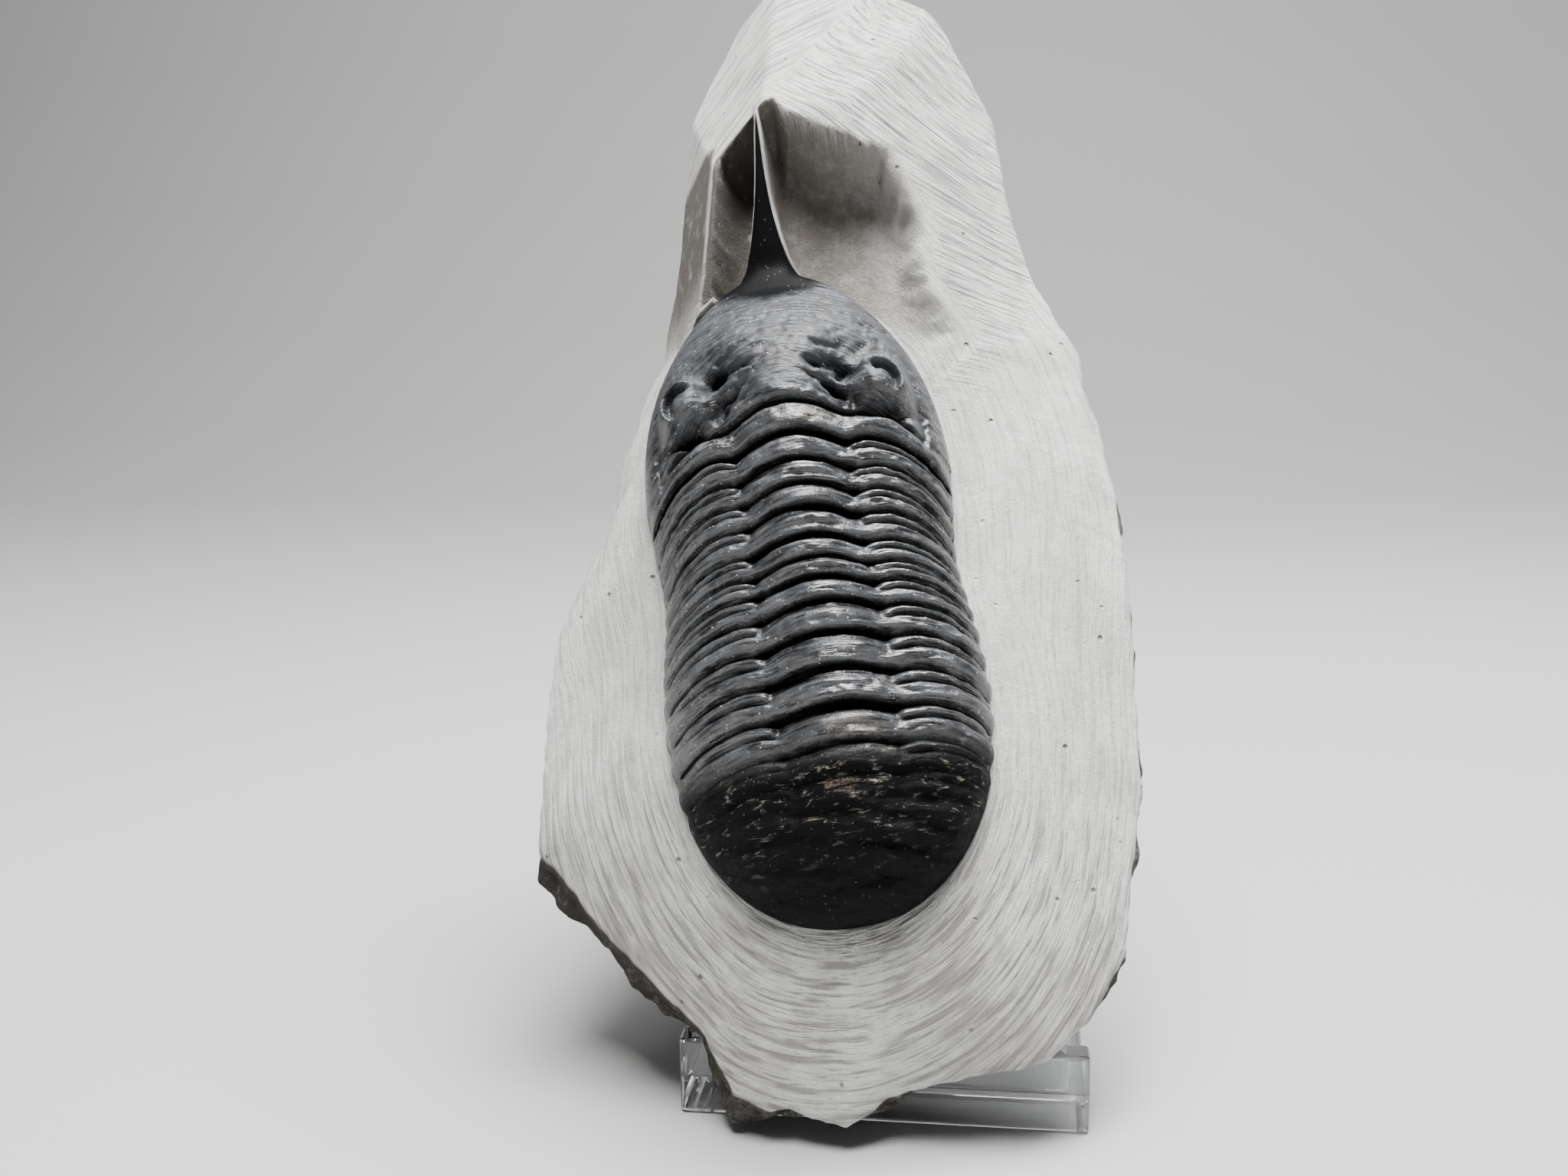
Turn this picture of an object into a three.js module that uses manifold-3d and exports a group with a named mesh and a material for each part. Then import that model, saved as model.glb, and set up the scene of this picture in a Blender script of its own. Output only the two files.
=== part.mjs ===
// A long-nosed trilobite on its bed of pale limestone, leaning on a small clear stand.
// Millimetres, +Z up. The stand's lip and the trilobite face -Y.

import * as THREE from 'three';
import { mergeVertices } from 'three/addons/utils/BufferGeometryUtils.js';
import Module from 'manifold-3d';

const wasm = await Module();
wasm.setup();

// How the stone stands: leaned back from upright, its own middle above the stand's front lip.
const leanBack = 30;
const stoneMiddle = [ - 6.4, 11.0, 42.5 ];
const gap = 0.35; // left between the trilobite, the stone and the stand

// The trilobite on the stone. Its own frame has u to its right, v towards its head, h off the stone.
const bodyMiddle = [ - 0.4, 1.2 ];
const bodyTurn = 9.6; // head to the left
const tailEnd = - 29.2;
const headFront = 29.9;
const noseTip = 43.5;
const tailWidest = - 10;
const headWidest = 9;
const tailHalfWidth = 14;
const headHalfWidth = 13.8;
const waistHalfWidth = 13;
const endRoundness = 2.2; // how square the two rounded ends are
const bodyDepth = 1.2; // how far the shell goes down into its bed

// Edges between the thorax's eleven segments and the tail's first two rings, along the back.
const segmentEdges = [
	10.0, 7.3, 5.2, 3.1, 0.5, - 1.5, - 3.1, - 5.2, - 7.8, - 10.7, - 13.6, - 16.5, - 18.9, - 20.8,
];
const axisShare = 0.36; // share of the half width that the middle lobe takes
const ringDepth = 1.15;
const ribDepth = 0.6;

// The stone, in its own frame: x to the right, y up along its face, z off its face.
const leftSide = [
	[ 3.9, - 43 ], [ - 1, - 42 ], [ - 5.8, - 43 ], [ - 9, - 37.6 ], [ - 15.6, - 32.8 ], [ - 21, - 27.6 ],
	[ - 24.7, - 23.5 ], [ - 25.2, - 13 ], [ - 25.1, - 1 ], [ - 23.3, 4 ], [ - 21.2, 10 ], [ - 20, 17.5 ],
	[ - 17.2, 27.9 ], [ - 16.4, 40 ], [ - 16.2, 56 ], [ - 14, 62.5 ], [ - 11.5, 68.5 ], [ - 7, 70 ],
];
const rightSide = [
	[ 3.9, - 43 ], [ 9, - 40 ], [ 14, - 38.8 ], [ 20.3, - 37.4 ], [ 24, - 33.5 ], [ 26.7, - 28.7 ],
	[ 27.2, - 23 ], [ 28.5, - 15 ], [ 28, - 5 ], [ 27.5, 8 ], [ 25.6, 18.2 ], [ 23.3, 27.5 ],
	[ 19.5, 34.7 ], [ 17.3, 41 ], [ 15.2, 53 ], [ 10.5, 60.5 ], [ 6.5, 64.5 ], [ 0, 68 ], [ - 7, 70 ],
];
const rimDrop = 6; // how far the stone's edge lies below the trilobite's foot
const stoneDepth = 31;
const stoneHeart = [ 0, 10 ]; // what the back of the stone closes in on

// The hollow dug round the nose spine, and the roof of stone left above it.
const hollowEdge = [
	[ - 11.5, 24 ], [ - 10.8, 34 ], [ - 10.8, 42.5 ], [ - 7, 45 ], [ - 5.2, 46.3 ], [ - 3.5, 44 ], [ - 1, 42.8 ],
	[ 5.3, 42.4 ], [ 8.2, 39.5 ], [ 9.8, 35.5 ], [ 11, 31 ], [ 14, 26 ], [ 9, 20 ], [ - 8, 20 ],
];
const hollowFloor = 0.6;
const hollowWall = [ 2.6, 5 ]; // how wide its wall's foot is, at the left and at the right
const roofTop = [ - 6, 46, 9.6 ];

// The clear stand: one bent sheet, with a lip, a shelf, a back rest and a rear leg.
const standWidth = 34.6;
const sheet = 2.5;
const lipHeight = 6.9;
const restPlane = 29.8; // the back rest's front, below the trilobite's foot
const restTop = 8; // how far up the stone the back rest goes
const legFoot = 50;
const cornerRound = 0.7;
const polish = 0.4; // the rounding of the sheet's cut edges

const clamp = THREE.MathUtils.clamp;
const mix = THREE.MathUtils.lerp;
const rise = THREE.MathUtils.smoothstep;
const radians = THREE.MathUtils.degToRad;
const hill = ( distance, width ) => Math.exp( - ( ( distance / width ) ** 2 ) );

// A smooth line through [ place, value ] pairs, with no overshoot between them.
function through( pairs ) {

	const slopes = pairs.slice( 1 ).map( ( [ place, value ], i ) => {

		const [ placeBefore, valueBefore ] = pairs[ i ];
		return ( value - valueBefore ) / ( place - placeBefore );

	} );

	const bends = pairs.map( ( pair, i ) => {

		const before = slopes[ Math.max( i - 1, 0 ) ];
		const after = slopes[ Math.min( i, slopes.length - 1 ) ];
		return before * after <= 0 ? 0 : 2 * before * after / ( before + after );

	} );

	return ( place ) => {

		const at = clamp( place, pairs[ 0 ][ 0 ], pairs[ pairs.length - 1 ][ 0 ] );
		const i = clamp( pairs.findIndex( ( pair ) => pair[ 0 ] >= at ) - 1, 0, slopes.length - 1 );
		const span = pairs[ i + 1 ][ 0 ] - pairs[ i ][ 0 ];
		const t = ( at - pairs[ i ][ 0 ] ) / span;
		const turn = t * t * ( 3 - 2 * t );
		const start = bends[ i ] * span * t * ( 1 - t ) ** 2;
		const end = bends[ i + 1 ] * span * t * t * ( t - 1 );
		return mix( pairs[ i ][ 1 ], pairs[ i + 1 ][ 1 ], turn ) + start + end;

	};

}

// A closed skin from a grid of points: the columns go round, the rows from one end to the other.
function skin( columns, rows, place ) {

	const geometry = new THREE.PlaneGeometry( 1, 1, columns, rows );
	const position = geometry.attributes.position;

	for ( let j = 0; j <= rows; j ++ ) {

		for ( let i = 0; i <= columns; i ++ ) position.setXYZ( j * ( columns + 1 ) + i, ...place( i % columns, j ) );

	}

	return closed( geometry );

}

// Shared vertices merged, and triangles that shrank to nothing taken out.
function closed( geometry ) {

	geometry.deleteAttribute( 'normal' );
	geometry.deleteAttribute( 'uv' );
	const merged = mergeVertices( geometry, 1e-3 );
	const index = merged.index.array;
	const kept = [];

	for ( let i = 0; i < index.length; i += 3 ) {

		const [ a, b, c ] = [ index[ i ], index[ i + 1 ], index[ i + 2 ] ];
		if ( a !== b && b !== c && c !== a ) kept.push( a, b, c );

	}

	merged.setIndex( kept );
	merged.computeVertexNormals();
	return merged;

}

// The shell

const noseHalfWidth = through( [
	[ 27.4, 7.3 ], [ 28.8, 5 ], [ 30.2, 3.2 ], [ 31.8, 2 ], [ 34, 1.25 ], [ 37, 0.7 ], [ 40, 0.4 ],
	[ 42, 0.25 ], [ noseTip, 0 ],
] );

function halfWidth( v ) {

	if ( v > 27.4 ) return noseHalfWidth( v );
	const round = ( reach ) => ( 1 - clamp( reach, 0, 1 ) ** endRoundness ) ** ( 1 / endRoundness );
	const tail = tailHalfWidth * round( ( tailWidest - v ) / ( tailWidest - tailEnd ) );
	const head = headHalfWidth * round( ( v - headWidest ) / ( headFront - headWidest ) );
	const waist = ( tailHalfWidth - waistHalfWidth ) * hill( v - 0.5, 6 );
	return v < tailWidest ? tail : v > headWidest ? head : mix( tail, head, rise( v, 4, 8.5 ) ) - waist;

}

// A cross row starts at s on the back, and its ends lie further back, by this much.
const sweep = through( [
	[ tailEnd, 0 ], [ - 24, 0.8 ], [ - 16, 1.6 ], [ - 5, 2.3 ], [ 8, 3.1 ], [ 11.5, 3.9 ], [ 17, 5 ], [ 24, 6.4 ],
	[ 28, 5.4 ], [ 29, 4 ], [ 29.7, 2 ], [ 30.4, 0.7 ], [ 31.4, 0 ],
] );

const ridge = through( [
	[ tailEnd, 0 ], [ - 28.7, 2.6 ], [ - 27, 5.4 ], [ - 24, 8.4 ], [ - 20, 10.6 ], [ - 16, 11.9 ], [ - 9, 12.9 ],
	[ 0, 13.2 ], [ 10, 13.1 ], [ 15, 12.8 ], [ 19, 11.8 ], [ 23, 9.4 ], [ 26, 6.8 ], [ 28.5, 4.7 ], [ 30.5, 4.3 ],
	[ 33, 5.4 ], [ 38, 7.9 ], [ noseTip, 10.4 ],
] );

const footHeight = through( [ [ 28, 0 ], [ 29.5, 0.5 ], [ 31, 2 ], [ 33, 4 ], [ 38, 6.7 ], [ noseTip, 9.8 ] ] );
const lobeHeight = through( [
	[ tailEnd, 0 ], [ - 24, 0.7 ], [ - 17, 2 ], [ 0, 2.5 ], [ 12, 2.4 ], [ 18, 1.8 ], [ 26, 0.2 ], [ 28, 0 ],
] );
const lobeShare = through( [ [ 12, axisShare ], [ 18, 0.45 ], [ 24, 0.6 ] ] );

// Where s lies between the edges of its segment, 0 at the front edge and 1 at the back edge.
function segmentPhase( s ) {

	const k = segmentEdges.findIndex( ( edge ) => edge < s );
	return k < 1 ? null : ( segmentEdges[ k - 1 ] - s ) / ( segmentEdges[ k - 1 ] - segmentEdges[ k ] );

}

function segmentRelief( s, side ) {

	const phase = segmentPhase( s );
	if ( phase === null ) return 0;
	const onAxis = 1 - rise( side, axisShare - 0.03, axisShare + 0.05 );
	const ring = - ringDepth * ( 1 - rise( phase, 0, 0.42 ) * ( 1 - rise( phase, 0.82, 1 ) ) );
	const ribs = - ribDepth * ( hill( Math.min( phase, 1 - phase ), 0.15 ) + 0.7 * hill( phase - 0.5, 0.13 ) );
	const worn = rise( s, - 22, - 17 );
	return worn * mix( ribs, ring, onAxis );

}

// The head's lumps and pits: occipital ring, three slits a side, eyes and the pits behind them.
function headRelief( s, u, v ) {

	const side = Math.abs( u );
	const neckFurrow = - 1.2 * hill( s - 12.9, 0.6 ) * ( 1 - rise( side, 9, 12.5 ) );
	const backFurrow = - 1.15 * hill( s - 10, 0.5 );
	const slits = [ [ 4, 14.2 ], [ 4.4, 15.2 ], [ 5, 17 ] ];
	const slitDepth = slits.reduce( ( sum, [ a, b ] ) => sum + hill( side - a, 1.5 ) * hill( v - b, 0.45 ), 0 );
	const eye = 3 * hill( Math.hypot( ( side - 8.5 ) / 2.5, ( v - 15.2 ) / 2.4 ) ** 1.6, 1 );
	const pit = 1.8 * hill( side - 8.6, 1.7 ) * hill( v - 12.3, 0.8 );
	const cheek = 1.2 * hill( side - 8, 3 ) * rise( s, 11, 13 ) * ( 1 - rise( s, 19, 23 ) );
	const brow = rise( s, 9.2, 9.9 ) * ( 1 - rise( s, 26, 28 ) );
	return brow * ( neckFurrow + backFurrow - 0.9 * slitDepth + eye - pit - cheek );

}

function bendOf( s, side ) {

	const wing = clamp( ( side - 0.45 ) / 0.55, 0, 1 ) ** 1.6;
	const lobe = 0.14 * hill( side - axisShare, 0.12 );
	const thorax = 0.86 * wing + lobe + 0.14 * rise( side, 0.7, 1 );
	return mix( thorax, side ** 2, rise( s, 11, 15 ) );

}

// A point of the shell's top: s picks the cross row, side goes from -1 on the left to 1 on the right.
function shellPoint( s, side ) {

	const endV = s - sweep( s );
	const out = Math.abs( side );
	const width = halfWidth( endV );
	const u = side * width;
	const v = s - sweep( s ) * bendOf( s, out );
	const foot = footHeight( endV );
	const lobe = lobeHeight( s );
	const arch = Math.sqrt( 1 - out ** 2.6 );
	const crown = ( 0.5 + 0.5 * Math.cos( Math.PI * Math.min( 1, out / lobeShare( s ) / 1.12 ) ) ) ** 0.85;
	const fade = 1 - rise( out, 0.93, 1 );
	const relief = ( segmentRelief( s, out ) + headRelief( s, u, v ) ) * fade;
	const h = foot + ( ridge( s ) - lobe - foot ) * arch + lobe * crown + relief;
	return leaned( u, v, Math.max( h, foot ) );

}

// The shell leans a little to its right, more towards the tail, and the nose bends to the right.
function leaned( u, v, h ) {

	const lean = clamp( 0.09 - 0.0045 * v, 0.02, 0.18 );
	const noseBend = clamp( ( v - 30 ) / 13.5, 0, 1 ) ** 1.3;
	return [ u + h * lean + noseBend, v, h ];

}

const acrossTop = [ 0, 5.5, 11, 17, 21.5, 25.5, 30, 38, 46, 55, 64, 73, 82 ];
const sides = [ - 90, ...acrossTop.toReversed().slice( 0, - 1 ).map( ( a ) => - a ), ...acrossTop, 90 ];
const under = [ [ 0.97, 1 ], [ 0.5, 1 ], [ 0, 1 ], [ - 0.5, 1 ], [ - 0.97, 1 ] ];

function rowPlaces() {

	const nose = [ noseTip, 42.3, 40, 37.6, 35.4, 33.6, 32.2, 31.2, 30.5, 30, 29.6, 29.2, 28.7 ];
	const head = [
		28, 27.2, 26.2, 25, 23.8, 22.6, 21.4, 20.2, 19.1, 18.1, 17.4, 16.7, 16, 15.3, 14.7, 14.1, 13.5, 12.9, 12.3,
		11.4, 10.6,
	];
	const thorax = segmentEdges.slice( 0, - 1 ).flatMap( ( edge, k ) =>
		[ 0, 0.25, 0.5, 0.8 ].map( ( phase ) => mix( edge, segmentEdges[ k + 1 ], phase ) ) );
	const tail = [ - 21, - 22.2, - 23.4, - 24.6, - 25.8, - 26.9, - 27.8, - 28.5, - 29, tailEnd ];
	return [ ...nose, ...head, ...thorax, ...tail ];

}

function trilobite() {

	const rows = rowPlaces();
	const columns = sides.length + under.length;

	const geometry = skin( columns, rows.length - 1, ( i, j ) => {

		const s = rows[ j ];
		if ( i < sides.length ) return shellPoint( s, Math.sin( radians( sides[ i ] ) ) );
		const [ side ] = under[ i - sides.length ];
		const endV = s - sweep( s );
		const end = j === 0 || j === rows.length - 1;
		const drop = end ? 0 : Math.min( bodyDepth, halfWidth( endV ) );
		return leaned( side * halfWidth( endV ), mix( s, endV, side * side ), footHeight( endV ) - drop );

	} );

	const finish = { color: '#26272a', roughness: 0.38, metalness: 0 };
	const mesh = new THREE.Mesh( geometry, new THREE.MeshStandardMaterial( finish ) );
	mesh.name = 'trilobite';
	return mesh;

}

// The stone

const turn = radians( bodyTurn );

function toStone( [ u, v, h ] ) {

	const x = bodyMiddle[ 0 ] + u * Math.cos( turn ) - v * Math.sin( turn );
	return [ x, bodyMiddle[ 1 ] + u * Math.sin( turn ) + v * Math.cos( turn ), h ];

}

function toShell( x, y ) {

	const [ dx, dy ] = [ x - bodyMiddle[ 0 ], y - bodyMiddle[ 1 ] ];
	return [ dx * Math.cos( turn ) + dy * Math.sin( turn ), dy * Math.cos( turn ) - dx * Math.sin( turn ) ];

}

// A line of points walked by its length, 0 at its start and 1 at its end.
function walk( points ) {

	const path = new THREE.CurvePath();
	points.slice( 1 ).forEach( ( point, i ) =>
		path.add( new THREE.LineCurve( new THREE.Vector2( ...points[ i ] ), new THREE.Vector2( ...point ) ) ) );
	return ( t ) => path.getPointAt( clamp( t, 0, 1 ) ).toArray();

}

const ends = rowPlaces().toReversed().map( ( s ) => s - sweep( s ) );
const shellEdge = walk( ends.map( ( v ) => [ halfWidth( v ), v ] ) );
const leftEdge = walk( leftSide );
const rightEdge = walk( rightSide );

function edgeDistance( x, y, loop ) {

	let nearest = Infinity;
	let inside = false;

	loop.forEach( ( [ x1, y1 ], i ) => {

		const [ x0, y0 ] = loop[ ( i + loop.length - 1 ) % loop.length ];
		const along = ( x - x0 ) * ( x1 - x0 ) + ( y - y0 ) * ( y1 - y0 );
		const t = clamp( along / ( ( x1 - x0 ) ** 2 + ( y1 - y0 ) ** 2 ), 0, 1 );
		nearest = Math.min( nearest, Math.hypot( x - mix( x0, x1, t ), y - mix( y0, y1, t ) ) );
		if ( ( y0 > y ) !== ( y1 > y ) && x < x0 + ( y - y0 ) * ( x1 - x0 ) / ( y1 - y0 ) ) inside = ! inside;

	} );

	return inside ? - nearest : nearest;

}

// The higher of two heights, with the corner between them rounded over that width.
function softMax( a, b, width ) {

	const share = clamp( 0.5 + 0.5 * ( a - b ) / width, 0, 1 );
	return mix( b, a, share ) + width * share * ( 1 - share );

}

// The stone's face at x, y: a mound that falls away from the shell, the dug hollow and its roof.
function face( x, y, reach ) {

	const mound = - rimDrop * reach ** 1.6;
	const [ rx, ry, rz ] = roofTop;
	const back = rz - 0.46 * ( y - ry );
	const left = Math.min( rz - 0.4 * ( y - ry ) + 1.15 * ( x - rx ), 6 + 2.2 * ( x + 10.8 ) );
	const right = 9 - 1.1 * ( x - 5 ) - 0.12 * ( y - 40 );
	const front = 0.45 * ( y - 19 );
	const shoulder = - softMax( - right, - front, 10 );
	const soft = mix( 0.5, 4, rise( x - 0.5 * ( y - 34 ), 2, 9 ) ); // sharp at the left, worn round at the right
	const roof = - softMax( - Math.min( back, left ), - shoulder, soft );
	const wallFoot = mix( ...hollowWall, rise( x, 2, 9 ) );
	const wall = Math.max( 0, edgeDistance( x, y, hollowEdge ) / wallFoot + 1 );
	const bowl = hollowFloor + 9 * wall ** 2.2;
	const [ u, v ] = toShell( x, y );
	const beside = Math.max( 0, Math.abs( u - leaned( 0, v, 8 )[ 0 ] ) - halfWidth( Math.max( v, 28 ) ) - 0.5 );
	const finTop = mix( - rimDrop, footHeight( v ), Math.exp( - ( ( beside / 1.6 ) ** 1.3 ) ) );
	const fin = v > 28 && v < noseTip + 1.5 ? finTop : mound;
	return softMax( mound, Math.max( Math.min( roof, bowl ), fin ), mix( 0.2, 5, rise( x, 6, 14 ) ) );

}

const innerRows = [ 0, 0.12, 0.28, 0.48, 0.72 ]; // from the shell out to the hollow's rim
const outerRows = [ 0, 0.14, 0.35, 0.6, 0.84, 1 ]; // from there to the stone's edge
const faceRows = innerRows.length + outerRows.length;
const backRows = [ // how much of the outline is left, and how deep
	[ 0.99, 2.5 ], [ 0.95, 7 ], [ 0.87, 13 ], [ 0.76, 19 ], [ 0.6, 25 ], [ 0.36, 29.5 ], [ 0, stoneDepth ],
];
const stoneColumns = 88;

// How far across a column the hollow's rim lies, or a middling share where there is no hollow.
function rimShare( across ) {

	const inHollow = ( share ) => edgeDistance( ...across( share ), hollowEdge ) < 0;
	const shares = Array.from( { length: 60 }, ( _, k ) => k / 60 );
	return shares.findLast( inHollow ) ?? 0.42;

}

function stonePoint( i, j ) {

	const half = stoneColumns / 2;
	const toLeft = i > half;
	const t = 1 - Math.abs( i - half ) / half;
	const [ w, v ] = shellEdge( t );
	const foot = footHeight( v );
	const side = toLeft ? - 1 : 1;
	const room = gap + 0.8 * hill( v - 30, 1.5 ); // more in the corners beside the nose's root
	const floor = foot - bodyDepth - room;
	if ( j === 0 ) return toStone( leaned( 0, v, floor ) );
	if ( j === 1 ) return toStone( leaned( side * ( w + room ), v + beyond( t ), floor ) );
	const inner = toStone( leaned( side * ( w + room ), v + beyond( t ), foot ) );
	const outerT = t < 0.8 ? t * 0.825 : mix( 0.66, 1, ( t - 0.8 ) / 0.2 );
	const outer = toLeft ? leftEdge( outerT ) : rightEdge( outerT );
	const row = j - 2;

	if ( row < faceRows ) {

		const across = ( share ) => [ mix( inner[ 0 ], outer[ 0 ], share ), mix( inner[ 1 ], outer[ 1 ], share ) ];
		const rim = rimShare( across );
		const outside = outerRows[ row - innerRows.length ];
		const share = row < innerRows.length ? innerRows[ row ] * rim : mix( rim, 1, outside );
		const [ x, y ] = across( share );
		return [ x, y, row === 0 ? foot : face( x, y, share ) ];

	}

	const [ grow, depth ] = backRows[ row - faceRows ];
	const rim = face( ...outer, 1 );
	const z = mix( rim - depth, - depth, rise( depth, 3, 20 ) );
	return [ mix( stoneHeart[ 0 ], outer[ 0 ], grow ), mix( stoneHeart[ 1 ], outer[ 1 ], grow ), z ];

}

// The bed reaches this far past the shell's two ends.
function beyond( t ) {

	return t > 0.5 ? gap * rise( t, 0.97, 1 ) * 2 : - gap * ( 1 - rise( t, 0, 0.08 ) );

}

// What the stand takes up, with the gap: the stone's underside is cut away by it.
function standRoom() {

	const room = new THREE.Shape();
	const [ y, z ] = restPoint( - 40, - gap );
	room.moveTo( - gap, - 9 );
	room.lineTo( - gap, lipHeight + gap );
	room.lineTo( sheet + gap, lipHeight + gap );
	room.lineTo( sheet + 5, sheet + gap );
	room.lineTo( y + ( sheet + gap - z ) * Math.tan( radians( leanBack ) ), sheet + gap );
	room.lineTo( ...restPoint( restTop + 0.5, - gap ) );
	room.lineTo( ...restPoint( restTop + 0.5, 8 ) );
	room.lineTo( 70, - 9 );
	return acrossStand( room, 100, false );

}

// A point of the back rest, y up along the stone and depth behind the rest's front, as [ Y, Z ].
function restPoint( y, depth ) {

	const [ cos, sin ] = [ Math.cos( radians( leanBack ) ), Math.sin( radians( leanBack ) ) ];
	const z = - restPlane - depth;
	return [ stoneMiddle[ 1 ] + y * sin - z * cos, stoneMiddle[ 2 ] + y * cos + z * sin ];

}

// A side outline drawn in [ Y, Z ], extruded across the stand.
function acrossStand( outline, width, rounded ) {

	const round = rounded ? polish : 0;
	const geometry = new THREE.ExtrudeGeometry( outline, {
		depth: width - 2 * round,
		bevelEnabled: rounded,
		bevelThickness: round,
		bevelSize: round,
		bevelOffset: - round,
		bevelSegments: 2,
		curveSegments: 5,
	} );
	geometry.translate( 0, 0, round - width / 2 );
	geometry.applyMatrix4( new THREE.Matrix4().set( 0, 0, 1, 0, 1, 0, 0, 0, 0, 1, 0, 0, 0, 0, 0, 1 ) );
	return closed( geometry );

}

function solid( geometry ) {

	return new wasm.Manifold( new wasm.Mesh( {
		numProp: 3,
		vertProperties: new Float32Array( geometry.attributes.position.array ),
		triVerts: new Uint32Array( geometry.index.array ),
	} ) );

}

function geometryOf( body ) {

	const { vertProperties, triVerts } = body.getMesh();
	const geometry = new THREE.BufferGeometry();
	geometry.setAttribute( 'position', new THREE.BufferAttribute( vertProperties, 3 ) );
	geometry.setIndex( new THREE.BufferAttribute( triVerts, 1 ) );
	geometry.computeVertexNormals();
	return geometry;

}

const stonePlace = new THREE.Matrix4()
	.makeTranslation( ...stoneMiddle )
	.multiply( new THREE.Matrix4().makeRotationX( radians( 90 - leanBack ) ) );

function matrix() {

	const rows = 1 + faceRows + backRows.length;
	const whole = skin( stoneColumns, rows, stonePoint );
	const room = standRoom().applyMatrix4( stonePlace.clone().invert() );
	const geometry = geometryOf( solid( whole ).subtract( solid( room ) ) );
	const finish = { color: '#bdb5ab', roughness: 0.9, metalness: 0 };
	const mesh = new THREE.Mesh( geometry, new THREE.MeshStandardMaterial( finish ) );
	mesh.name = 'matrix';
	return mesh;

}

// The stand

// A sheet along a line of [ Y, Z ] points, its corners a little rounded, as a closed side outline.
function bentSheet( line, thickness, bend ) {

	const points = line.map( ( point ) => new THREE.Vector2( ...point ) );
	const outline = [];

	for ( const hand of [ 1, - 1 ] ) {

		const run = hand > 0 ? points : points.toReversed();

		run.forEach( ( point, i ) => {

			const before = run[ i - 1 ] ? point.clone().sub( run[ i - 1 ] ).normalize() : null;
			const after = run[ i + 1 ] ? run[ i + 1 ].clone().sub( point ).normalize() : null;
			const across = ( way ) => new THREE.Vector2( way.y, - way.x ).multiplyScalar( thickness / 2 );

			if ( ! before || ! after ) {

				const way = before ?? after;
				const end = point.clone().add( across( way ) );
				if ( point.y === 0 ) end.addScaledVector( way, - end.y / way.y ); // a foot ends level
				outline.push( end );
				return;

			}

			const middle = before.clone().add( after ).normalize();
			const corner = point.clone().add( across( middle ).divideScalar( before.dot( middle ) ) );
			const reach = bend * Math.tan( before.angleTo( after ) / 2 );
			const from = corner.clone().addScaledVector( before, - reach );
			const to = corner.clone().addScaledVector( after, reach );
			outline.push( ...new THREE.QuadraticBezierCurve( from, corner, to ).getPoints( 4 ) );

		} );

	}

	return new THREE.Shape( outline );

}

function stand() {

	const half = sheet / 2;
	const [ y, z ] = restPoint( 0, half );
	const shelfBack = y - ( z - half ) * Math.tan( radians( leanBack ) );
	const top = restPoint( restTop - 2, half );
	const line = [ [ half, lipHeight ], [ half, half ], [ shelfBack, half ], top, [ legFoot, 0 ] ];
	const bent = acrossStand( bentSheet( line, sheet, cornerRound ), standWidth, true );
	const geometry = geometryOf( solid( bent ).trimByPlane( [ 0, 0, 1 ], 0 ) ); // the base and the foot end level
	const finish = { color: '#e8eef0', roughness: 0.05, metalness: 0, transparent: true, opacity: 0.35 };
	const mesh = new THREE.Mesh( geometry, new THREE.MeshStandardMaterial( finish ) );
	mesh.name = 'stand';
	return mesh;

}

const shellGroup = new THREE.Group();
shellGroup.position.set( ...bodyMiddle, 0 );
shellGroup.rotation.z = turn;
shellGroup.add( trilobite() );

const stoneGroup = new THREE.Group();
stoneGroup.position.set( ...stoneMiddle );
stoneGroup.rotation.x = radians( 90 - leanBack );
stoneGroup.add( matrix(), shellGroup );

// The origin is on the surface it stands on, under the middle of the whole.
const onStand = new THREE.Group();
onStand.add( stoneGroup, stand() );
const box = new THREE.Box3().setFromObject( onStand, true );
onStand.position.set( - ( box.min.x + box.max.x ) / 2, - ( box.min.y + box.max.y ) / 2, - box.min.z );

const fossil = new THREE.Group();
fossil.add( onStand );

export default fossil;
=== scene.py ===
import math

import bmesh
import bpy
import numpy as np
from mathutils import Matrix, Vector


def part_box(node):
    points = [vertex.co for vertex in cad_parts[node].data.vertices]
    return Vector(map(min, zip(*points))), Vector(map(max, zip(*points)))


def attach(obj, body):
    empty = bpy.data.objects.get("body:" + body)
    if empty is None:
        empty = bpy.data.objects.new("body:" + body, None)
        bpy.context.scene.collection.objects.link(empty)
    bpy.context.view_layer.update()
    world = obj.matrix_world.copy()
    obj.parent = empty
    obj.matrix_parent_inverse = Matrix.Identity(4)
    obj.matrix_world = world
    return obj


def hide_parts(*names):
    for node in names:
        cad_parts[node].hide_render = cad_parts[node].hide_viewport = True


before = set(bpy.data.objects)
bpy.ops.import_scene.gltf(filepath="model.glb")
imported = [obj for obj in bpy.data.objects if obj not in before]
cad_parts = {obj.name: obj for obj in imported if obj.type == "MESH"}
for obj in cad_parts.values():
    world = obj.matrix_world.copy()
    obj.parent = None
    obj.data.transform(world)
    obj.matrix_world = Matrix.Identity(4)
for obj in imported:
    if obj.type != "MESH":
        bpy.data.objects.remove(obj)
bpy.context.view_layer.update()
mm = 0.001

# The stand's lip, floor and middle: everything is placed from here.
standLow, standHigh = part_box("stand")
lipFront = Vector(((standLow.x + standHigh.x) / 2, standLow.y, 0))

setting = {
    "leanBack": 30,  # degrees
    "stoneMiddle": (-6.4, 11.0, 42.5),  # mm from the lip's front edge
    "bodyMiddle": (-0.4, 1.2),  # on the stone, in mm
    "bodyTurn": 9.6,  # degrees
}


# Small maths, all of it on whole arrays at once

def rise(x, low, high):
    t = np.clip((x - low) / (high - low), 0, 1)
    return t * t * (3 - 2 * t)


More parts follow.
